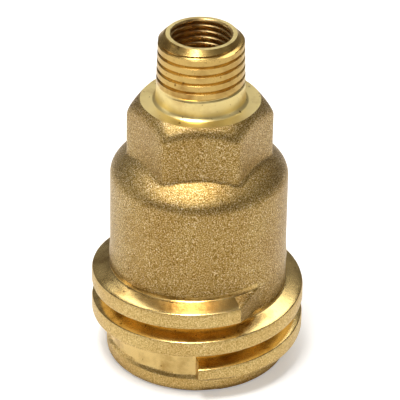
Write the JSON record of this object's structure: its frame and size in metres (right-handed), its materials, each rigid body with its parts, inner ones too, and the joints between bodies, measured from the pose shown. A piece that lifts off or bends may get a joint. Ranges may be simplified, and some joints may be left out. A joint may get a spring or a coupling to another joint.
{
  "type": "gas outlet adapter",
  "caption": "Round brass gas outlet adapter with a coarse male connector thread below, a wrench hexagon, a tapered male pipe neck above and a spring-loaded check inside.",
  "frame": {"origin": "centre of the nose's end face, on the thread axis", "axes": "+Z along the thread axis from the nose to the pipe neck, one wrench flat faces -Y, turned 3.5 degrees towards -X"},
  "size_m": [0.0333, 0.0332, 0.0557],
  "materials": {
    "body_brass": "sandblasted casting with machined threads and neck",
    "turned_brass": "fine turned",
    "seal_rubber": "matt moulded",
    "spring_steel": "bright drawn wire and stamped ring"
  },
  "bodies": {
    "body": {"fitting_body": "body_brass", "spring_retainer": "turned_brass", "nipple_seal": "seal_rubber", "backup_washer": "turned_brass", "retaining_ring": "spring_steel", "check_spring": "spring_steel"},
    "check": {"check_poppet": "turned_brass", "poppet_seal": "seal_rubber", "seal_washer": "turned_brass"}
  },
  "joints": [
    {"name": "check_slide", "type": "slide", "parent": "body", "child": "check", "axis": [0, 0, 1], "range_m": [0, 0.003], "stiffness_N_per_m": 516, "springref_m": -0.0044, "deforming": ["check_spring"]}
  ]
}
